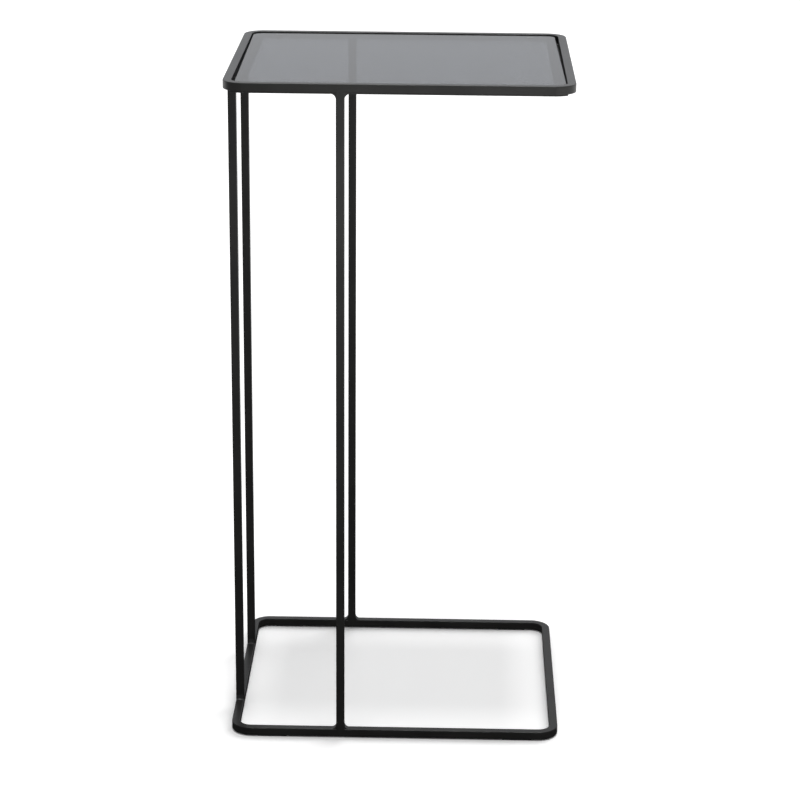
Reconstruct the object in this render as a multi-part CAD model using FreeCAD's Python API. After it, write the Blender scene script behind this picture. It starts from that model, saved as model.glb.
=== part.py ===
import FreeCAD, Part
import math
import os

from FreeCAD import Vector

# C shaped side table: a welded frame of square steel bar that carries a loose pane of smoked glass.
# The origin is on the floor under the middle of the table. X points to the open side of the C,
# Y to the rear and Z up. All lengths are in millimetres.

# Overall size
overall_width = 325.0
overall_depth = 280.0
overall_height = 656.0

# Square steel bar of both loops and of the legs
bar = 8.0
bar_edge_radius = 0.6
# Inside of the bends at the corners of both loops
bend_radius = 12.0

# Middle of the front and rear legs, from the left side
face_leg_place = 109.0
# Middle of the two left legs, from the front and from the rear
side_leg_place = 70.0

# Fillet welds, ground hollow: reach of a bead along the leg and the rail, and how hollow it is
bead_size = 5.0
bead_hollow_share = 0.18

# Flat strips under the rim: reach under the glass, thickness, and step back from the rim's outer face
ledge_seat = 10.0
ledge_thickness = 1.2
ledge_setback = 0.6
# Room behind a leg in the notch of a strip
notch_clearance = 0.5

# Loose pane with ground arrises, and its gap to the rim on each side
pane_thickness = 5.0
pane_arris = 0.6
pane_clearance = 2.0
# The pane lies a little turned in the rim, which takes this share of the gap at its ends
pane_turn_share = 0.64

# Clear bumpers between the strips and the pane, with the middle of a bumper from the left or right side
bumper_diameter = 8.0
bumper_thickness = 2.0
bumper_edge_radius = 0.3
bumper_place = 36.0

# Stick-on pads under the base loop, with their room to the edges of the bar and to the bends
pad_length = 30.0
pad_thickness = 1.0
pad_corner_radius = 2.0
pad_margin = 1.0
pad_end_gap = 6.0

# Spare length of a cutting block past the faces that it cuts
overrun = 5.0

# Places worked out from the sizes above
half_width = overall_width / 2
half_depth = overall_depth / 2
bar_middle = bar / 2
outer_bend_radius = bend_radius + bar
base_bottom = pad_thickness
base_top = base_bottom + bar
rim_bottom = overall_height - bar
ledge_bottom = rim_bottom - ledge_thickness
ledge_reach = bar + pane_clearance + ledge_seat
pane_bottom = rim_bottom + bumper_thickness
face_leg_x = face_leg_place - half_width
face_leg_y = half_depth - bar_middle
side_leg_x = bar_middle - half_width
side_leg_y = half_depth - side_leg_place

# Directions, and the sign of each side
right = Vector(1, 0, 0)
rear = Vector(0, 1, 0)
up = Vector(0, 0, 1)
faces = {"front": -1, "rear": 1}
sides = {"left": -1, "right": 1}
quarter_turn = math.pi / 2


def rounded_outline(half_x, half_y, radius, height):
    """Closed wire of a rectangle with round corners, level, about the Z axis."""
    arcs = []
    for turn, (side_x, side_y) in enumerate([(1, 1), (-1, 1), (-1, -1), (1, -1)]):
        middle = Vector(side_x * (half_x - radius), side_y * (half_y - radius), height)
        circle = Part.Circle(middle, up, radius)
        arcs.append(Part.ArcOfCircle(circle, turn * quarter_turn, (turn + 1) * quarter_turn))
    edges = []
    for arc, following in zip(arcs, arcs[1:] + arcs[:1]):
        edges.append(arc.toShape())
        edges.append(Part.LineSegment(arc.EndPoint, following.StartPoint).toShape())
    return Part.Wire(edges)


def rounded_slab(half_x, half_y, radius, bottom, thickness):
    """Flat solid with round corners, about the Z axis."""
    return Part.Face(rounded_outline(half_x, half_y, radius, bottom)).extrude(up * thickness)


def block(low, high):
    """Box between two opposite corners."""
    size = high - low
    return Part.makeBox(size.x, size.y, size.z, low)


def level_edges(shape):
    """Edges that keep one height."""
    return [edge for edge in shape.Edges if math.isclose(edge.Vertexes[0].Z, edge.Vertexes[-1].Z)]


def upright_edges(shape):
    """Edges that run from one height to another."""
    return [edge for edge in shape.Edges if not math.isclose(edge.Vertexes[0].Z, edge.Vertexes[-1].Z)]


def bent_loop(bottom):
    """Square bar bent into a closed loop with eased edges."""
    outside = rounded_outline(half_width, half_depth, outer_bend_radius, bottom)
    inside = rounded_outline(half_width - bar, half_depth - bar, bend_radius, bottom)
    section = Part.makeFace([outside, inside], "Part::FaceMakerBullseye")
    loop = section.extrude(up * bar)
    return loop.makeFillet(bar_edge_radius, level_edges(loop))


def leg(x, y):
    """Straight square bar from the base loop to the rim, with eased long edges."""
    middle = Vector(x, y, 0)
    corner = Vector(bar_middle, bar_middle, 0)
    straight = block(middle - corner + up * base_top, middle + corner + up * rim_bottom)
    return straight.makeFillet(bar_edge_radius, upright_edges(straight))


def weld_bead(corner, along, away, shoulder):
    """Hollow fillet from the line where a leg meets a loop, with a shoulder as thick as the strip there."""
    width = bar - 2 * bar_edge_radius
    across = along.cross(away)
    start = corner - across * (width / 2)
    heel = start + along * bead_size
    toe = heel + away * shoulder
    tip = start + away * (shoulder + bead_size)
    hollow_depth = bead_size / 2 - bead_size * bead_hollow_share
    hollow = start + along * hollow_depth + away * (shoulder + hollow_depth)
    corners = [tip, start, heel, toe] if shoulder else [tip, start, heel]
    edges = [Part.Arc(toe, hollow, tip).toShape()]
    for first, second in zip(corners, corners[1:]):
        edges.append(Part.LineSegment(first, second).toShape())
    return Part.Face(Part.Wire(edges)).extrude(across * width)


def leg_welds(x, y, height, along, away, shoulder=0):
    """Two beads at one end of a leg, one on each side of it along the loop."""
    beads = []
    for way in (along, along * -1):
        corner = Vector(x, y, height) + way * bar_middle
        beads.append(weld_bead(corner, way, away, shoulder))
    return Part.Compound(beads)


def leg_notch(x, y, along, across):
    """Block that clears a leg out of a strip, as far as the shoulders of its two beads."""
    room = along * (bar_middle + bead_size) + across * (bar_middle + notch_clearance)
    low = Vector(x, y, ledge_bottom - overrun) - room
    high = Vector(x, y, rim_bottom + overrun) + room
    return block(low, high)


def ledge_blank():
    """Plate of the strips' thickness inside the outline of the rim."""
    inset = ledge_setback
    return rounded_slab(
        half_width - inset, half_depth - inset, outer_bend_radius - inset, ledge_bottom, ledge_thickness
    )


def strip(low_x, high_x, low_y, high_y):
    """Part of the blank between four straight lines."""
    cutter = block(Vector(low_x, low_y, ledge_bottom), Vector(high_x, high_y, rim_bottom))
    return ledge_blank().common(cutter)


def face_ledge(side):
    """Strip under the front or the rear of the rim, between the side bars, notched for the leg."""
    ends = sorted([side * half_depth, side * (half_depth - ledge_reach)])
    flat = strip(bar - half_width, half_width - bar, ends[0], ends[1])
    return flat.cut(leg_notch(face_leg_x, side * face_leg_y, right, rear))


def side_ledge(side):
    """Strip under the left or the right of the rim, between the front and rear strips."""
    ends = sorted([side * half_width, side * (half_width - ledge_reach)])
    return strip(ends[0], ends[1], ledge_reach - half_depth, half_depth - ledge_reach)


def left_ledge():
    """Left strip with its notches for the two legs."""
    flat = side_ledge(sides["left"])
    for side in faces.values():
        flat = flat.cut(leg_notch(side_leg_x, side * side_leg_y, rear, right))
    return flat


def glass_pane():
    """Loose pane on its bumpers, with ground arrises, turned a little in the rim."""
    inset = bar + pane_clearance
    half_x = half_width - inset
    half_y = half_depth - inset
    pane = rounded_slab(half_x, half_y, bend_radius - pane_clearance, pane_bottom, pane_thickness)
    pane = pane.makeChamfer(pane_arris, level_edges(pane))
    turn = math.atan2(pane_turn_share * pane_clearance, half_x)
    pane.rotate(Vector(0, 0, 0), up, math.degrees(turn))
    return pane


def bumper(side_x, side_y):
    """Clear dot on a front or rear strip, in the middle of the seat of the glass."""
    x = side_x * (half_width - bumper_place)
    y = side_y * (half_depth - ledge_reach + ledge_seat / 2)
    dot = Part.makeCylinder(bumper_diameter / 2, bumper_thickness, Vector(x, y, rim_bottom))
    top_edge = max(level_edges(dot), key=lambda edge: edge.CenterOfMass.z)
    return dot.makeFillet(bumper_edge_radius, [top_edge])


def pad(side_x, side_y):
    """Thin pad under the base loop, beside a bend."""
    x = side_x * (half_width - outer_bend_radius - pad_end_gap - pad_length / 2)
    y = side_y * (half_depth - bar_middle)
    strip_pad = rounded_slab(pad_length / 2, bar_middle - pad_margin, pad_corner_radius, 0, pad_thickness)
    strip_pad.translate(Vector(x, y, 0))
    return strip_pad


def add_leg(pieces, name, x, y, along):
    """A leg with the welds at its foot and at its top."""
    pieces[name] = leg(x, y)
    pieces[name + "_foot_weld"] = leg_welds(x, y, base_top, along, up)
    pieces[name + "_top_weld"] = leg_welds(x, y, rim_bottom, along, up * -1, ledge_thickness)


def table():
    """All the pieces by name."""
    pieces = {
        "base_loop": bent_loop(base_bottom),
        "top_rim": bent_loop(rim_bottom),
        "left_ledge": left_ledge(),
        "right_ledge": side_ledge(sides["right"]),
        "glass_pane": glass_pane(),
    }
    for face, side_y in faces.items():
        pieces[face + "_ledge"] = face_ledge(side_y)
        add_leg(pieces, face + "_leg", face_leg_x, side_y * face_leg_y, right)
        add_leg(pieces, "left_" + face + "_leg", side_leg_x, side_y * side_leg_y, rear)
        for flank, side_x in sides.items():
            pieces[face + "_" + flank + "_bumper"] = bumper(side_x, side_y)
            pieces[face + "_" + flank + "_pad"] = pad(side_x, side_y)
    return pieces


os.makedirs("parts", exist_ok=True)
for name, shape in table().items():
    shape.exportStep(os.path.join("parts", name + ".step"))
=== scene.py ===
import math

import bmesh
import bpy
from bpy.props import FloatProperty, FloatVectorProperty, PointerProperty
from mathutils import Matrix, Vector


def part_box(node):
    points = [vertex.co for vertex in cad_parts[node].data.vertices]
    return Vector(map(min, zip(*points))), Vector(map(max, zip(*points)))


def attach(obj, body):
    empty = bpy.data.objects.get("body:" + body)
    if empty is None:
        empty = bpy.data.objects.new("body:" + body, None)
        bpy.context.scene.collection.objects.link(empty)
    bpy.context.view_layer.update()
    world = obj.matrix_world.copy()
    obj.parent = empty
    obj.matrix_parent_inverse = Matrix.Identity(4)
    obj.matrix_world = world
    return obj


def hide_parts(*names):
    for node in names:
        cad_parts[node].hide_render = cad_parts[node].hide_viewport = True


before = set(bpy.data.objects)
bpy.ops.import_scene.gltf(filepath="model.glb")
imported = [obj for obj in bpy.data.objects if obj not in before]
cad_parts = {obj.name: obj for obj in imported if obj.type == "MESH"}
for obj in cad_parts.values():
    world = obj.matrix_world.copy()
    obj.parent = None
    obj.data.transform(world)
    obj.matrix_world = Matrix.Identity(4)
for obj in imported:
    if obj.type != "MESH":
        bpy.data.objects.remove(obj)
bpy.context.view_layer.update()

bl_info = {
    "name": "C Shaped Side Table",
    "version": (1, 0, 0),
    "blender": (4, 5, 0),
    "location": "View3D > Sidebar > Side Table",
    "description": "Dresses the packed frame of a C shaped side table with a loose smoked glass top",
    "category": "Object",
}

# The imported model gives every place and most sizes, in metres.
RIM_LOW, RIM_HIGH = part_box("top_rim")
BASE_LOW, BASE_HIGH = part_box("base_loop")
LEDGE_LOW, LEDGE_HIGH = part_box("front_ledge")
PANE_LOW, PANE_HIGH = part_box("glass_pane")
BUMPER_LOW, BUMPER_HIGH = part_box("front_left_bumper")
PAD_LOW, PAD_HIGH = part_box("front_left_pad")
BAR = RIM_HIGH.z - RIM_LOW.z

LEGS = ("front_leg", "rear_leg", "left_front_leg", "left_rear_leg")
LEDGES = ("front_ledge", "rear_ledge", "left_ledge", "right_ledge")
CORNERS = ("front_left", "front_right", "rear_left", "rear_right")

RIGHT = Vector((1, 0, 0))
REAR = Vector((0, 1, 0))
UP = Vector((0, 0, 1))
QUARTER_TURN = math.pi / 2

# Places closer than this count as one, in metres, and directions from this cosine up
NEAR = 0.00002
SAME_WAY = 0.99

# Steps in which the bends and rounds are cut
BEND_STEPS = 18
BAR_ROUND_STEPS = 4
HOLLOW_STEPS = 12
PANE_CORNER_STEPS = 16
BUMPER_SIDES = 40
BUMPER_ROUND_STEPS = 4
PAD_CORNER_STEPS = 8
PAD_ROUND_STEPS = 3

# Angles from which an edge is shaded sharp, in degrees
SHARP = 40
WELD_SHARP = 50
PANE_SHARP = 30

# Rings along a weld bead, its ripples, and what the outer two rings at each end keep of their size
WELD_RINGS = 28
WELD_RIPPLES = 7
WELD_ENDS = (0.86, 0.96)

# Shares of a bumper's width: the inset of its top face, and how far out its outer ring of edges starts
CROWN_INSET = 0.2
CROWN_RING = 0.45

# Camera of the picture, found by fitting the edges of both loops and of the legs.
# Its place is in metres, its turn in degrees, and its lens and sensor in millimetres.
CAMERA_PLACE = (0.05016, -2.3718, 1.09394)
CAMERA_TURN = (71.8224, -0.4192, 1.3408)
CAMERA_LENS = 111.64
CAMERA_SENSOR = 36.0

# Panel high above the table. The top keeps its light off a soft patch of floor inside the base.
OVERHEAD_PLACE = (0.16, -0.4, 30.0)
OVERHEAD_TURN = (0.0, 0.0, 0.0)
OVERHEAD_SIZE = (5.0, 7.0)

# Wide soft light from the rear right: its turn and its width, in degrees
BROAD_TURN = (-50.0, 0.0, -26.0)
BROAD_WIDTH = 50.0

# Panel in front and above, and a strip close to the front and below the rim.
# The strip's light doesn't reach into the recess above the pane.
FILL_PLACE = (0.35, -0.6, 1.40)
FILL_TURN = (35.0, 0.0, 35.0)
FILL_SIZE = (0.5, 0.3)
STRIP_PLACE = (0.15, -0.27, 0.55)
STRIP_TURN = (90.0, 0.0, 0.0)
STRIP_SIZE = (0.5, 0.1)

# The floor's width in metres, the lift of its colour, and the share of it that colours bounced light
FLOOR_SIZE = 14.0
FLOOR_LIFT = 1.42
FLOOR_BOUNCE = 0.36


def length(name, description, default):
    """A length that a user can change, in metres."""
    return FloatProperty(
        name=name, description=description, default=default, min=0.0, precision=5, unit="LENGTH"
    )


def share(name, description, default, top=1.0):
    """A share or a level that a user can change, from zero up."""
    return FloatProperty(
        name=name, description=description, default=default, min=0.0, max=top, subtype="FACTOR"
    )


def power(name, description, default):
    """The power of a lamp that a user can change, in watts."""
    return FloatProperty(name=name, description=description, default=default, min=0.0, unit="POWER")


def colour(name, description, default):
    """A colour that a user can change."""
    return FloatVectorProperty(
        name=name, description=description, default=default, size=3, min=0.0, max=1.0, subtype="COLOR"
    )


class TableSizes(bpy.types.PropertyGroup):
    """Sizes of the modelled pieces"""

    bar: length("Bar", "Side of the square bar of the loops and legs", BAR)
    edge_radius: length("Edge radius", "Round along the edges of the bar", 0.0006)
    bend_radius: length("Bend radius", "Inside of the bends of both loops", 0.012)
    leg_sink: length("Leg sink", "How far the ends of a leg are welded into the loops", 0.0005)
    weld_reach: length("Weld reach", "Reach of a weld along the leg and along the loop", 0.005)
    weld_hollow: share("Weld hollow", "How hollow the face of a weld is, as a share of its reach", 0.18)
    weld_ripple: share("Weld ripple", "Depth of the ripples of a weld, as a share of its size", 0.03)
    pane_corner: length("Pane corner", "Radius of the corners of the pane", 0.010)
    pane_arris: length("Pane arris", "Width of the ground arris round the pane", 0.0006)
    pane_gap: length("Pane gap", "Room between the pane and the rim before the pane is turned", 0.002)
    pane_turn: FloatProperty(
        name="Pane turn",
        description="How far the loose pane lies turned in the rim",
        default=math.radians(0.4809),
        precision=4,
        unit="ROTATION",
    )
    bumper_round: length("Bumper round", "Round of the crown of a bumper", 0.00045)
    pad_corner: length("Pad corner", "Radius of the corners of a pad", 0.002)
    pad_round: length("Pad round", "Round of the lower edge of a pad", 0.0003)


class TableColours(bpy.types.PropertyGroup):
    """Colours of the finishes"""

    powder_coat: colour("Powder coat", "Satin black coat of the frame", (0.0175, 0.0174, 0.0168))
    smoked_glass: colour("Smoked glass", "What a pane lets through", (0.058, 0.064, 0.074))
    clear_silicone: colour("Clear silicone", "Bumpers under the glass", (0.78, 0.79, 0.80))
    black_rubber: colour("Black rubber", "Pads under the base", (0.025, 0.025, 0.026))
    floor: colour("Floor", "Pale floor of the studio", (0.9, 0.9, 0.9))


class StudioLight(bpy.types.PropertyGroup):
    """Levels and powers of the studio's light"""

    ambient: share("Ambient", "Even light from all round", 0.38, 5.0)
    overhead: share("Overhead", "Panel high above the table", 0.40, 5.0)
    broad: share("Broad", "Wide soft light from the rear right", 0.43, 5.0)
    fill: power("Fill", "Panel in front and above", 5.0)
    strip: power("Strip", "Strip light close to the front, below the top of the rim", 0.52)


class Value:
    """A socket's value, on which sums are written as plain expressions."""

    def __init__(self, finish, socket):
        self.finish = finish
        self.socket = socket

    def sum(self, operation, first, second):
        """A Math node on two values."""
        return self.finish.node("ShaderNodeMath", {"operation": operation}, {0: first, 1: second})

    def __add__(self, other):
        return self.sum("ADD", self, other)

    def __radd__(self, other):
        return self.sum("ADD", other, self)

    def __rsub__(self, other):
        return self.sum("SUBTRACT", other, self)

    def __mul__(self, other):
        return self.sum("MULTIPLY", self, other)

    def __rmul__(self, other):
        return self.sum("MULTIPLY", other, self)

    def larger(self, other):
        return self.sum("MAXIMUM", self, other)

    def smaller(self, other):
        return self.sum("MINIMUM", self, other)


class Finish:
    """The nodes of one finish."""

    def __init__(self, tree):
        self.tree = tree
        tree.nodes.clear()

    def node(self, kind, settings=None, sockets=None, output=0):
        """A new node: its settings first, then the values or links of its sockets."""
        made = self.tree.nodes.new(kind)
        for name, value in (settings or {}).items():
            setattr(made, name, value)
        for name, value in (sockets or {}).items():
            if isinstance(value, Value):
                self.tree.links.new(value.socket, made.inputs[name])
            else:
                made.inputs[name].default_value = value
        return Value(self, made.outputs[output])

    def place(self):
        """Place on the piece, in metres."""
        spot = self.node("ShaderNodeTexCoord", output="Object")
        return self.node("ShaderNodeMapping", {"vector_type": "POINT"}, {"Vector": spot})

    def part(self, vector, axis):
        """One part of a vector: X, Y or Z."""
        return self.node("ShaderNodeSeparateXYZ", {}, {"Vector": vector}, output=axis)

    def cloud(self, place, size, detail=2.0, rough=0.5):
        """Soft noise from 0 to 1 with patches of a given size in metres."""
        return self.node(
            "ShaderNodeTexNoise",
            {"noise_dimensions": "3D"},
            {"Vector": place, "Scale": 1.0 / size, "Detail": detail, "Roughness": rough},
        )

    def spread(self, value, given, wanted=(0.0, 1.0)):
        """A value brought smoothly from one range to another, and held inside it."""
        low, high = given
        out_low, out_high = wanted
        return self.node(
            "ShaderNodeMapRange",
            {"clamp": True, "interpolation_type": "SMOOTHSTEP"},
            {"Value": value, "From Min": low, "From Max": high, "To Min": out_low, "To Max": out_high},
        )

    def blend(self, factor, first, second):
        """Two colours mixed."""
        return self.node(
            "ShaderNodeMix", {"data_type": "RGBA"}, {"Factor": factor, 6: first, 7: second}, output=2
        )

    def ray(self, kind):
        """1 for rays of one kind and 0 for others."""
        return self.node("ShaderNodeLightPath", output=kind)

    def seen(self):
        """1 for what the camera sees, also through glass, and 0 for the rest."""
        return self.ray("Is Camera Ray").larger(self.ray("Is Transmission Ray"))

    def bump(self, height, depth):
        """Relief of a given depth in metres."""
        return self.node("ShaderNodeBump", {}, {"Height": height, "Distance": depth}, output="Normal")

    def surface(self, shader, kind="ShaderNodeOutputMaterial"):
        """The shader that is shown."""
        made = self.tree.nodes.new(kind)
        self.tree.links.new(shader.socket, made.inputs["Surface"])


def rgba(tone, share_of_it=1.0):
    """A colour as four numbers, made darker or lighter."""
    return tuple(part * share_of_it for part in tone) + (1.0,)


def new_finish(name):
    """An empty material and its nodes."""
    material = bpy.data.materials.new(name)
    material.use_nodes = True
    return material, Finish(material.node_tree)


def powder_coat_finish(name, tone):
    """Baked satin powder coat: a fine pebbled skin, a little uneven in tone and in gloss."""
    material, finish = new_finish(name)
    place = finish.place()
    patches = finish.cloud(place, size=0.045, detail=3.0)
    pebble = finish.cloud(place, size=0.0014, detail=1.0)
    grain = finish.cloud(place, size=0.00035, detail=1.0)
    uneven = finish.spread(0.6 * patches + 0.4 * grain, (0.35, 0.65))
    darker = rgba(tone, 0.82)
    lighter = rgba(tone, 1.2)
    relief = 0.75 * pebble + 0.25 * grain
    finish.surface(finish.node("ShaderNodeBsdfPrincipled", {}, {
        "Base Color": finish.blend(uneven, darker, lighter),
        "Roughness": 0.22 + 0.08 * patches + 0.08 * grain,
        "IOR": 1.5,
        "Specular IOR Level": 0.5,
        "Normal": finish.bump(relief, depth=0.00006),
    }))
    return material


def smoked_glass_finish(name, tone):
    """Smoked float glass: polished faces with faint wiping marks, and finely ground edges."""
    material, finish = new_finish(name)
    place = finish.place()
    upward = finish.part(finish.node("ShaderNodeNewGeometry", output="Normal"), "Z")
    level = (upward * upward).smaller(1.0)
    ground = finish.spread(level, (0.97, 0.9))
    streak_place = finish.node("ShaderNodeMapping", {"vector_type": "POINT"}, {
        "Vector": place, "Rotation": (0.0, 0.0, 0.5), "Scale": (1.0, 5.0, 1.0),
    })
    streaks = finish.spread(finish.cloud(streak_place, size=0.09, detail=4.0, rough=0.6), (0.5, 0.75))
    grit = finish.cloud(place, size=0.0003, detail=1.0)
    finish.surface(finish.node("ShaderNodeBsdfPrincipled", {}, {
        "Base Color": rgba(tone),
        "Roughness": 0.012 + 0.03 * streaks + ground * (0.28 + 0.12 * grit),
        "IOR": 1.5,
        "Transmission Weight": 1.0,
        "Normal": finish.bump(ground * grit, depth=0.00003),
    }))
    return material


def clear_silicone_finish(name, tone):
    """Clear soft dots, milky in places."""
    material, finish = new_finish(name)
    milk = finish.cloud(finish.place(), size=0.003)
    darker = rgba(tone, 0.9)
    lighter = rgba(tone, 1.1)
    finish.surface(finish.node("ShaderNodeBsdfPrincipled", {}, {
        "Base Color": finish.blend(milk, darker, lighter),
        "Roughness": 0.25 + 0.2 * milk,
        "IOR": 1.41,
        "Transmission Weight": 0.7,
        "Normal": finish.bump(milk, depth=0.00004),
    }))
    return material


def black_rubber_finish(name, tone):
    """Matt rubber with a fine moulded grain and a little floor dust."""
    material, finish = new_finish(name)
    place = finish.place()
    grain = finish.cloud(place, size=0.0006)
    dust = finish.spread(finish.cloud(place, size=0.006, detail=3.0), (0.5, 0.8))
    dust_tone = (0.22, 0.21, 0.2, 1.0)
    finish.surface(finish.node("ShaderNodeBsdfPrincipled", {}, {
        "Base Color": finish.blend(0.12 * dust, rgba(tone), dust_tone),
        "Roughness": 0.78 + 0.15 * grain,
        "IOR": 1.5,
        "Normal": finish.bump(grain, depth=0.00008),
    }))
    return material


def floor_finish(name, tone):
    """Pale floor that keeps the table's shadow, bounces less light, and is a soft glow in gloss."""
    material, finish = new_finish(name)
    seen = finish.seen()
    unseen = 1.0 - seen
    glossy = finish.ray("Is Glossy Ray")
    place = finish.place()
    rightward = finish.part(place, "X")
    rearward = finish.part(place, "Y")
    away = finish.node("ShaderNodeVectorMath", {"operation": "LENGTH"}, {0: place}, output="Value")
    rising = finish.spread(away, (0.2, 2.2), (0.02, 0.36))
    falling = finish.spread(away, (2.2, 4.2), (1.0, 0.5))
    brighter_right = finish.spread(rightward, (-0.5, 1.0), (0.75, 3.4))
    behind = finish.spread(rearward, (0.15, 1.0), (0.0, 0.9))
    dimmer_right = finish.spread(rightward, (0.2, 1.0), (1.0, 0.35))
    glow = (rising * falling * brighter_right).larger(behind * dimmer_right)
    given_back = seen + FLOOR_BOUNCE * unseen * (1.0 - glossy)
    black = rgba(tone, 0.0)
    lifted = rgba(tone, FLOOR_LIFT)
    shown = finish.blend(given_back, black, lifted)
    diffuse = finish.node("ShaderNodeBsdfDiffuse", {}, {"Color": shown})
    light = finish.node("ShaderNodeEmission", {}, {"Color": unseen * glossy * glow, "Strength": 1.0})
    finish.surface(finish.node("ShaderNodeAddShader", {}, {0: diffuse, 1: light}))
    return material


def studio_world(name, ambient):
    """White surroundings with even ambient light, cooler in gloss, and there dimmer in front and above."""
    world = bpy.data.worlds.new(name)
    world.use_nodes = True
    finish = Finish(world.node_tree)
    way = finish.node("ShaderNodeTexCoord", output="Generated")
    behind = finish.spread(finish.part(way, "Y"), (-0.4, 0.6), (0.25, 0.71))
    above = finish.spread(finish.part(way, "Z"), (0.25, 0.48), (1.0, 0.4))
    seen = finish.seen()
    glossy = finish.ray("Is Glossy Ray")
    white = (1.0, 1.0, 1.0, 1.0)
    cool_white = (0.955, 0.97, 1.0, 1.0)
    shader = finish.node("ShaderNodeBackground", {}, {
        "Color": finish.blend(glossy, white, cool_white),
        "Strength": seen + (1.0 - seen) * (glossy * behind * above + (1.0 - glossy) * ambient),
    })
    finish.surface(shader, "ShaderNodeOutputWorld")
    return world


def shared_finish(name, make, tone):
    """A finish that several pieces share, made once."""
    return bpy.data.materials.get(name) or make(name, tuple(tone))


def powder_coat():
    """The coat of all the steel."""
    colours = bpy.context.scene.side_table_colours
    return shared_finish("powder_coat_skin", powder_coat_finish, colours.powder_coat)


def clear_selection():
    """Leaves edit mode with nothing selected."""
    if bpy.context.mode != "OBJECT":
        bpy.ops.object.mode_set(mode="OBJECT")
    bpy.ops.object.select_all(action="DESELECT")


def take(piece):
    """Makes a piece the only one selected."""
    clear_selection()
    piece.select_set(True)
    bpy.context.view_layer.objects.active = piece


def settle():
    """Puts the place and the turn of what is selected into its mesh."""
    bpy.ops.object.transform_apply(location=True, rotation=True, scale=True)


def named(name):
    """The object just made, with its name on it and on its mesh."""
    piece = bpy.context.object
    piece.name = name
    piece.data.name = name
    return piece


def started(name):
    """The primitive just added, named and in edit mode, with its place in its mesh."""
    piece = named(name)
    settle()
    bpy.ops.object.mode_set(mode="EDIT")
    return piece


def pick(kind, test):
    """Selects the vertices, edges or faces that pass a test, in edit mode."""
    bpy.ops.mesh.select_mode(type=kind)
    bpy.ops.mesh.select_all(action="DESELECT")
    mesh = bpy.context.edit_object.data
    shape = bmesh.from_edit_mesh(mesh)
    items = {"VERT": shape.verts, "EDGE": shape.edges, "FACE": shape.faces}[kind]
    found = [item for item in items if test(item)]
    if not found:
        raise RuntimeError("nothing to shape on " + bpy.context.edit_object.name)
    for item in found:
        item.select_set(True)
    shape.select_flush_mode()
    bmesh.update_edit_mesh(mesh)


def pick_all(kind):
    """Selects all vertices or all faces, in edit mode."""
    pick(kind, lambda item: True)


def middle_of(item):
    """Middle of an edge or a face."""
    corners = [corner.co for corner in item.verts]
    return sum(corners, Vector()) / len(corners)


def runs_along(edge, way):
    """Whether an edge runs in a direction."""
    along = (edge.verts[1].co - edge.verts[0].co).normalized()
    return abs(along.dot(way)) > SAME_WAY


def pull(way):
    """Extrudes what is selected."""
    bpy.ops.mesh.extrude_region_move(
        TRANSFORM_OT_translate={"value": tuple(way), "orient_type": "GLOBAL"}
    )


def sweep(centre, axis, angle, steps):
    """Spins what is selected about a line, counter-clockwise seen from the axis's far end."""
    bpy.ops.mesh.spin(steps=steps, angle=-angle, center=tuple(centre), axis=tuple(axis))


def ease(kind, width, segments):
    """Bevels the selected edges or corners."""
    bpy.ops.mesh.bevel(
        offset=width,
        offset_type="OFFSET",
        segments=segments,
        profile=0.5,
        affect=kind,
        clamp_overlap=False,
    )


def close_up(sharp_angle=SHARP, even_normals=True):
    """Merges doubles, turns the faces outwards and shades the piece."""
    bpy.ops.mesh.select_all(action="SELECT")
    bpy.ops.mesh.remove_doubles(threshold=NEAR / 2)
    bpy.ops.mesh.normals_make_consistent(inside=False)
    bpy.ops.object.mode_set(mode="OBJECT")
    bpy.ops.object.shade_smooth_by_angle(angle=math.radians(sharp_angle))
    if even_normals:
        bpy.ops.object.modifier_add(type="WEIGHTED_NORMAL")
        modifier = bpy.context.object.modifiers[-1]
        modifier.keep_sharp = True
        bpy.ops.object.modifier_apply(modifier=modifier.name)


def move(piece, shift):
    """Moves a piece."""
    take(piece)
    bpy.ops.transform.translate(value=tuple(shift), orient_type="GLOBAL")
    settle()


def turn(piece, angle, axis):
    """Turns a piece about the origin, counter-clockwise seen from the axis's far end."""
    take(piece)
    bpy.ops.transform.rotate(
        value=-angle, orient_axis=axis, orient_type="GLOBAL", center_override=(0.0, 0.0, 0.0)
    )
    settle()


def copy_of(piece, name):
    """A copy with its own mesh, in the same place."""
    take(piece)
    bpy.ops.object.duplicate(linked=False)
    return named(name)


def finished(piece, material, body, slot, *nodes):
    """Gives a piece its finish and its body, and hides the nodes that it stands for."""
    clear_selection()
    piece.data.materials.clear()
    piece.data.materials.append(material)
    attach(piece, body)
    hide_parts(*nodes)


def bar_section(name, place, rotation, sizes):
    """Cross section of the bar with round corners, ready to be pulled along."""
    clear_selection()
    bpy.ops.mesh.primitive_plane_add(size=sizes.bar, location=place, rotation=rotation)
    piece = started(name)
    pick_all("VERT")
    ease("VERTICES", sizes.edge_radius, BAR_ROUND_STEPS)
    pick_all("FACE")
    return piece


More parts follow.
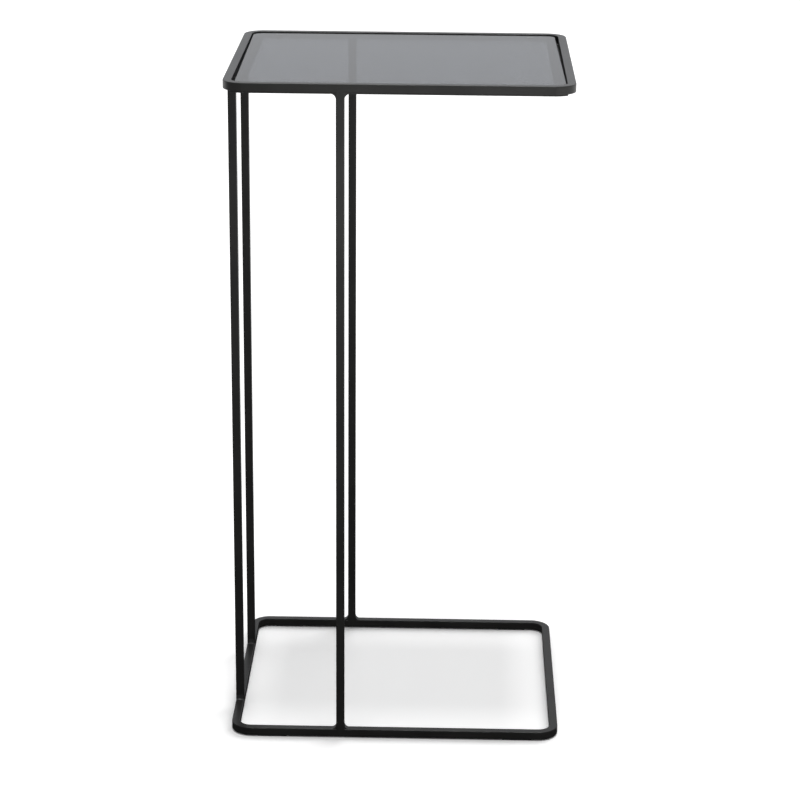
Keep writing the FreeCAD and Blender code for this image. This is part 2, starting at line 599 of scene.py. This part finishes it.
def bent_loop(name, low, high, sizes):
    """Bar pulled straight and spun round four bends into a closed loop, from the middle of the rear."""
    middle = (low + high) / 2
    reach = (high - low) / 2
    bend_x = reach.x - sizes.bar - sizes.bend_radius
    bend_y = reach.y - sizes.bar - sizes.bend_radius
    rear_middle = (0.0, reach.y - sizes.bar / 2, middle.z)
    piece = bar_section(name, rear_middle, (0.0, QUARTER_TURN, 0.0), sizes)
    runs = [
        (-RIGHT * bend_x, (-bend_x, bend_y)),
        (-REAR * 2 * bend_y, (-bend_x, -bend_y)),
        (RIGHT * 2 * bend_x, (bend_x, -bend_y)),
        (REAR * 2 * bend_y, (bend_x, bend_y)),
    ]
    for way, (centre_x, centre_y) in runs:
        pull(way)
        sweep((centre_x, centre_y, middle.z), UP, QUARTER_TURN, BEND_STEPS)
    pull(-RIGHT * bend_x)
    pick("FACE", lambda face: abs(face.normal.x) > SAME_WAY and abs(middle_of(face).x) < NEAR)
    bpy.ops.mesh.delete(type="ONLY_FACE")
    close_up()
    return piece


class SIDETABLE_OT_loops(bpy.types.Operator):
    """Bend the rim and the base loop from square bar"""

    bl_idname = "side_table.loops"
    bl_label = "Bend Loops"

    def execute(self, context):
        rim = bent_loop("rim_bar", RIM_LOW, RIM_HIGH, context.scene.side_table_sizes)
        base = copy_of(rim, "base_bar")
        move(base, BASE_LOW - RIM_LOW)
        finished(rim, powder_coat(), "frame", "powder_coat", "top_rim")
        finished(base, powder_coat(), "frame", "powder_coat", "base_loop")
        return {"FINISHED"}


class SIDETABLE_OT_legs(bpy.types.Operator):
    """Cut the four legs from square bar"""

    bl_idname = "side_table.legs"
    bl_label = "Cut Legs"

    def execute(self, context):
        sizes = context.scene.side_table_sizes
        first_low, first_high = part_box(LEGS[0])
        middle = (first_low + first_high) / 2
        foot = first_low.z - sizes.leg_sink
        leg = bar_section("leg_bar", (middle.x, middle.y, foot), (0.0, 0.0, 0.0), sizes)
        pull(UP * (first_high.z + sizes.leg_sink - foot))
        close_up()
        for name in LEGS:
            piece = copy_of(leg, name + "_bar")
            move(piece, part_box(name)[0] - first_low)
            finished(piece, powder_coat(), "frame", "powder_coat", name)
        bpy.data.objects.remove(leg)
        return {"FINISHED"}


def bead_section(name, sizes, shoulder):
    """Hollow section of a bead beside a leg at the origin, with a shoulder as thick as the strip there."""
    reach = sizes.weld_reach
    face = sizes.bar / 2
    front = sizes.edge_radius - face
    deep = reach * (0.5 - sizes.weld_hollow)
    centre = (reach * reach - 2 * deep * deep) / (2 * reach - 4 * deep)
    hollow_turn = QUARTER_TURN - 2 * math.atan2(centre - reach, centre)
    clear_selection()
    bpy.ops.mesh.primitive_plane_add(
        size=reach,
        location=(face + reach / 2, front, shoulder + reach / 2),
        rotation=(QUARTER_TURN, 0.0, 0.0),
    )
    piece = started(name)
    pick("VERT", lambda corner: corner.co.x < face + NEAR or corner.co.z > shoulder + NEAR)
    bpy.ops.mesh.delete(type="VERT")
    pick_all("VERT")
    sweep((face + centre, front, shoulder + centre), REAR, hollow_turn, HOLLOW_STEPS)
    pick("VERT", lambda corner: corner.co.z > shoulder + reach - NEAR)
    pull(-UP * (shoulder + reach))
    if shoulder:
        pick("VERT", lambda corner: corner.co.x > face + reach - NEAR)
        pull(-UP * shoulder)
    pick_all("VERT")
    bpy.ops.mesh.edge_face_add()
    pick_all("FACE")
    return piece


def weld_pair(name, sizes, shoulder):
    """The two beads at the foot of a leg at the origin, rippled and drawn in at their ends."""
    face = sizes.bar / 2
    front = sizes.edge_radius - face
    ring_step = REAR * (-2 * front / WELD_RINGS)
    tall = []
    for ring in range(WELD_RINGS + 1):
        ripple = 1.0 - math.cos(math.tau * WELD_RIPPLES * ring / WELD_RINGS)
        tall.append(1.0 - sizes.weld_ripple * ripple)
    for ring, kept in enumerate(WELD_ENDS):
        tall[ring] *= kept
        tall[-1 - ring] *= kept
    piece = bead_section(name, sizes, shoulder)
    before = 1.0
    for ring, size in enumerate(tall):
        if ring:
            pull(ring_step)
        step = size / before
        bpy.ops.transform.resize(value=(step, 1.0, step), center_override=(face, front, 0.0))
        before = size
    bpy.ops.object.mode_set(mode="OBJECT")
    bpy.ops.object.modifier_add(type="MIRROR")
    bpy.ops.object.modifier_apply(modifier=piece.modifiers[-1].name)
    bpy.ops.object.mode_set(mode="EDIT")
    close_up(WELD_SHARP, even_normals=False)
    return piece


class SIDETABLE_OT_welds(bpy.types.Operator):
    """Lay the fillet welds at both ends of each leg"""

    bl_idname = "side_table.welds"
    bl_label = "Lay Welds"

    def execute(self, context):
        sizes = context.scene.side_table_sizes
        foot_pair = weld_pair("foot_beads", sizes, 0.0)
        top_pair = weld_pair("top_beads", sizes, LEDGE_HIGH.z - LEDGE_LOW.z)
        turn(top_pair, math.pi, "X")
        for name in LEGS:
            low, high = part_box(name)
            middle = (low + high) / 2
            ends = (("_foot_weld", foot_pair, low.z), ("_top_weld", top_pair, high.z))
            for end, pair, height in ends:
                piece = copy_of(pair, name + end + "_beads")
                if name.startswith("left_"):
                    turn(piece, QUARTER_TURN, "Z")
                move(piece, (middle.x, middle.y, height))
                finished(piece, powder_coat(), "frame", "powder_coat", name + end)
        bpy.data.objects.remove(foot_pair)
        bpy.data.objects.remove(top_pair)
        return {"FINISHED"}


class SIDETABLE_OT_ledges(bpy.types.Operator):
    """Coat the flat strips under the rim"""

    bl_idname = "side_table.ledges"
    bl_label = "Coat Ledges"

    def execute(self, context):
        for name in LEDGES:
            for material_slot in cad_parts[name].material_slots:
                material_slot.material = powder_coat()
        return {"FINISHED"}


class SIDETABLE_OT_pane(bpy.types.Operator):
    """Grind the loose pane of smoked glass"""

    bl_idname = "side_table.pane"
    bl_label = "Grind Pane"

    def execute(self, context):
        sizes = context.scene.side_table_sizes
        colours = context.scene.side_table_colours
        inset = sizes.bar + sizes.pane_gap
        size = RIM_HIGH - RIM_LOW - Vector((2 * inset, 2 * inset, 0.0))
        size.z = PANE_HIGH.z - PANE_LOW.z
        middle = (0.0, 0.0, (PANE_LOW.z + PANE_HIGH.z) / 2)
        clear_selection()
        bpy.ops.mesh.primitive_cube_add(size=1.0, location=middle, scale=size)
        piece = started("smoked_pane")
        pick("EDGE", lambda edge: runs_along(edge, UP))
        ease("EDGES", sizes.pane_corner, PANE_CORNER_STEPS)
        pick("EDGE", lambda edge: abs(edge.verts[0].co.z - edge.verts[1].co.z) < NEAR)
        ease("EDGES", sizes.pane_arris, 1)
        close_up(PANE_SHARP)
        turn(piece, sizes.pane_turn, "Z")
        glass = shared_finish("smoked_glass_pane", smoked_glass_finish, colours.smoked_glass)
        finished(piece, glass, "pane", "smoked_glass", "glass_pane")
        return {"FINISHED"}


class SIDETABLE_OT_bumpers(bpy.types.Operator):
    """Stick the clear bumpers on the strips"""

    bl_idname = "side_table.bumpers"
    bl_label = "Stick Bumpers"

    def execute(self, context):
        sizes = context.scene.side_table_sizes
        colours = context.scene.side_table_colours
        middle = (BUMPER_LOW + BUMPER_HIGH) / 2
        tall = BUMPER_HIGH.z - BUMPER_LOW.z
        across = BUMPER_HIGH.x - BUMPER_LOW.x

        def on_crown_ring(edge):
            place = middle_of(edge)
            outside = (place - middle).xy.length > across * CROWN_RING
            return outside and place.z > BUMPER_HIGH.z - NEAR

        clear_selection()
        bpy.ops.mesh.primitive_cylinder_add(
            vertices=BUMPER_SIDES, radius=across / 2, depth=tall, location=middle
        )
        dot = started("bumper_dot")
        pick("FACE", lambda face: face.normal.z > SAME_WAY)
        bpy.ops.mesh.inset(thickness=across * CROWN_INSET, depth=0.0)
        pick("EDGE", on_crown_ring)
        ease("EDGES", sizes.bumper_round, BUMPER_ROUND_STEPS)
        close_up()
        silicone = shared_finish("clear_silicone_dot", clear_silicone_finish, colours.clear_silicone)
        for corner in CORNERS:
            piece = copy_of(dot, corner + "_bumper_dot")
            move(piece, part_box(corner + "_bumper")[0] - BUMPER_LOW)
            finished(piece, silicone, "frame", "clear_silicone", corner + "_bumper")
        bpy.data.objects.remove(dot)
        return {"FINISHED"}


class SIDETABLE_OT_pads(bpy.types.Operator):
    """Stick the rubber pads under the base"""

    bl_idname = "side_table.pads"
    bl_label = "Stick Pads"

    def execute(self, context):
        sizes = context.scene.side_table_sizes
        colours = context.scene.side_table_colours
        middle = (PAD_LOW + PAD_HIGH) / 2
        clear_selection()
        bpy.ops.mesh.primitive_cube_add(size=1.0, location=middle, scale=PAD_HIGH - PAD_LOW)
        strip = started("pad_strip")
        pick("EDGE", lambda edge: runs_along(edge, UP))
        ease("EDGES", sizes.pad_corner, PAD_CORNER_STEPS)
        pick("EDGE", lambda edge: max(end.co.z for end in edge.verts) < PAD_LOW.z + NEAR)
        ease("EDGES", sizes.pad_round, PAD_ROUND_STEPS)
        close_up()
        rubber = shared_finish("black_rubber_pad", black_rubber_finish, colours.black_rubber)
        for corner in CORNERS:
            piece = copy_of(strip, corner + "_pad_strip")
            move(piece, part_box(corner + "_pad")[0] - PAD_LOW)
            finished(piece, rubber, "frame", "black_rubber", corner + "_pad")
        bpy.data.objects.remove(strip)
        return {"FINISHED"}


def in_radians(degrees):
    """Angles of a turn, from degrees."""
    return [math.radians(angle) for angle in degrees]


def add_sun(name, turn_degrees, width_degrees, level):
    """Light from one side: at a level of 1 it shows a white surface that faces it as white."""
    bpy.ops.object.light_add(type="SUN", rotation=in_radians(turn_degrees))
    lamp = bpy.context.object
    lamp.name = name
    lamp.data.angle = math.radians(width_degrees)
    lamp.data.energy = level * math.pi
    return lamp


def add_panel(name, place, turn_degrees, size, watts):
    """Flat lamp that the camera doesn't see."""
    bpy.ops.object.light_add(type="AREA", location=place, rotation=in_radians(turn_degrees))
    lamp = bpy.context.object
    lamp.name = name
    lamp.data.shape = "RECTANGLE"
    lamp.data.size, lamp.data.size_y = size
    lamp.data.energy = watts
    lamp.visible_camera = False
    return lamp


def flag_off(lamp, floor):
    """Keeps a lamp's light off the floor and its image out of the gloss."""
    shaded = bpy.data.collections.new(lamp.name + "_shaded")
    shaded.objects.link(floor)
    shaded.collection_objects[0].light_linking.link_state = "EXCLUDE"
    lamp.light_linking.receiver_collection = shaded
    lamp.visible_glossy = False


def add_camera(name):
    """Camera of the picture."""
    bpy.ops.object.camera_add(location=CAMERA_PLACE, rotation=in_radians(CAMERA_TURN))
    camera = bpy.context.object
    camera.name = name
    camera.data.sensor_width = CAMERA_SENSOR
    camera.data.lens = CAMERA_LENS
    return camera


class SIDETABLE_OT_stage(bpy.types.Operator):
    """Set up the floor, the light and the camera"""

    bl_idname = "side_table.stage"
    bl_label = "Set Stage"

    def execute(self, context):
        scene = context.scene
        light = scene.side_table_light
        clear_selection()
        bpy.ops.mesh.primitive_plane_add(size=FLOOR_SIZE, location=(0.0, 0.0, 0.0))
        floor = context.object
        floor.name = "studio_floor"
        floor_tone = tuple(scene.side_table_colours.floor)
        floor.data.materials.append(floor_finish("studio_floor", floor_tone))
        scene.world = studio_world("studio", light.ambient)
        # At this power a level of 1 shows a white floor under the panel as white.
        overhead_watts = light.overhead * (math.pi * OVERHEAD_PLACE[2]) ** 2
        add_panel("overhead_panel", OVERHEAD_PLACE, OVERHEAD_TURN, OVERHEAD_SIZE, overhead_watts)
        broad = add_sun("broad_light", BROAD_TURN, BROAD_WIDTH, light.broad)
        broad.visible_glossy = False
        fill = add_panel("front_panel", FILL_PLACE, FILL_TURN, FILL_SIZE, light.fill)
        flag_off(fill, floor)
        strip = add_panel("front_strip", STRIP_PLACE, STRIP_TURN, STRIP_SIZE, light.strip)
        flag_off(strip, floor)
        scene.camera = add_camera("photo_camera")
        scene.view_settings.view_transform = "Standard"
        return {"FINISHED"}


GROUPS = (TableSizes, TableColours, StudioLight)
OPERATORS = (
    SIDETABLE_OT_loops,
    SIDETABLE_OT_legs,
    SIDETABLE_OT_welds,
    SIDETABLE_OT_ledges,
    SIDETABLE_OT_pane,
    SIDETABLE_OT_bumpers,
    SIDETABLE_OT_pads,
    SIDETABLE_OT_stage,
)


class SIDETABLE_PT_panel(bpy.types.Panel):
    """Steps, sizes, colours and light of the table"""

    bl_idname = "SIDETABLE_PT_panel"
    bl_label = "Side Table"
    bl_space_type = "VIEW_3D"
    bl_region_type = "UI"
    bl_category = "Side Table"

    def draw(self, context):
        scene = context.scene
        for group in (scene.side_table_sizes, scene.side_table_colours, scene.side_table_light):
            box = self.layout.box()
            for name in group.__annotations__:
                box.prop(group, name)
        for operator in OPERATORS:
            self.layout.operator(operator.bl_idname)


def register():
    for group in GROUPS:
        bpy.utils.register_class(group)
    bpy.types.Scene.side_table_sizes = PointerProperty(type=TableSizes)
    bpy.types.Scene.side_table_colours = PointerProperty(type=TableColours)
    bpy.types.Scene.side_table_light = PointerProperty(type=StudioLight)
    for operator in OPERATORS:
        bpy.utils.register_class(operator)
    bpy.utils.register_class(SIDETABLE_PT_panel)


def unregister():
    bpy.utils.unregister_class(SIDETABLE_PT_panel)
    for operator in reversed(OPERATORS):
        bpy.utils.unregister_class(operator)
    del bpy.types.Scene.side_table_light
    del bpy.types.Scene.side_table_colours
    del bpy.types.Scene.side_table_sizes
    for group in reversed(GROUPS):
        bpy.utils.unregister_class(group)


def main():
    """Builds the table on its stage."""
    register()
    bpy.ops.side_table.loops()
    bpy.ops.side_table.legs()
    bpy.ops.side_table.welds()
    bpy.ops.side_table.ledges()
    bpy.ops.side_table.pane()
    bpy.ops.side_table.bumpers()
    bpy.ops.side_table.pads()
    bpy.ops.side_table.stage()


if __name__ == "__main__":
    main()
